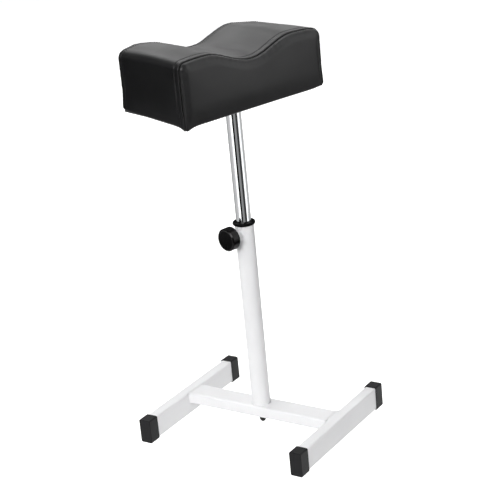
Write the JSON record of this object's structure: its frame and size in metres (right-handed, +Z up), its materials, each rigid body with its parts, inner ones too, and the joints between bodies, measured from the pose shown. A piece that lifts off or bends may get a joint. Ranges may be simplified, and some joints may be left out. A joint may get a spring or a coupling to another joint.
{
  "type": "pedicure footrest",
  "caption": "Padded saddle-shaped footrest on a telescopic column: a chrome mast slides and swivels in a white post on an H-shaped base, held by a screw knob.",
  "frame": {"origin": "on the floor, under the axis of the post, in the middle of the base", "axes": "+Z up along the post and the mast, +X along the crossbar, +Y along the legs towards the back"},
  "size_m": [0.3226, 0.3144, 0.6844],
  "materials": {
    "white_powder_coat": "satin",
    "chrome_plate": "polished",
    "black_plastic": "satin",
    "black_gloss_plastic": "gloss",
    "blackened_steel": "satin",
    "zinc_plated_steel": "satin",
    "natural_nylon": "satin",
    "birch_plywood": "matte",
    "pale_foam": "matte",
    "black_leatherette": "satin",
    "black_felt": "matte"
  },
  "bodies": {
    "base": {"left_leg": "white_powder_coat", "right_leg": "white_powder_coat", "crossbar": "white_powder_coat", "front_left_cap": "black_plastic", "front_right_cap": "black_plastic", "rear_left_cap": "black_plastic", "rear_right_cap": "black_plastic", "post_tube": "white_powder_coat", "post_foot_plug": "zinc_plated_steel", "foot_stud": "zinc_plated_steel", "foot_washer": "zinc_plated_steel", "foot_cap_nut": "blackened_steel", "guide_bush": "black_gloss_plastic", "clamp_nut": "white_powder_coat"},
    "glide": {"glide_bush": "natural_nylon"},
    "mast": {"mast_tube": "chrome_plate", "mounting_plate": "white_powder_coat", "plate_screw_1": "zinc_plated_steel", "plate_screw_2": "zinc_plated_steel", "plate_screw_3": "zinc_plated_steel", "plate_screw_4": "zinc_plated_steel", "tee_nut_1": "zinc_plated_steel", "tee_nut_2": "zinc_plated_steel", "tee_nut_3": "zinc_plated_steel", "tee_nut_4": "zinc_plated_steel", "base_board": "birch_plywood", "foam_core": "pale_foam", "pad_cover": "black_leatherette", "dust_cover": "black_felt"},
    "tip": {"clamp_tip": "natural_nylon"},
    "knob": {"knob_body": "black_plastic", "knob_stud": "zinc_plated_steel"}
  },
  "joints": [
    {"name": "height_slide", "type": "slide", "parent": "base", "child": "glide", "axis": [0, 0, 1], "range_m": [-0.2, 0.06]},
    {"name": "swivel", "type": "hinge", "parent": "glide", "child": "mast", "pos_m": [0, 0, 0.45], "axis": [0, 0, 1], "continuous": true},
    {"name": "tip_travel", "type": "slide", "parent": "base", "child": "tip", "axis": [-0.2419, -0.9703, 0], "range_m": [0, 0.0025]},
    {"name": "knob_turn", "type": "hinge", "parent": "tip", "child": "knob", "pos_m": [0, 0, 0.3536], "axis": [-0.2419, -0.9703, 0], "range_deg": [0, 720]}
  ],
  "couplings": [
    {"joint": "tip_travel", "follows": "knob_turn", "m_per_rad": 0.00019894}
  ]
}
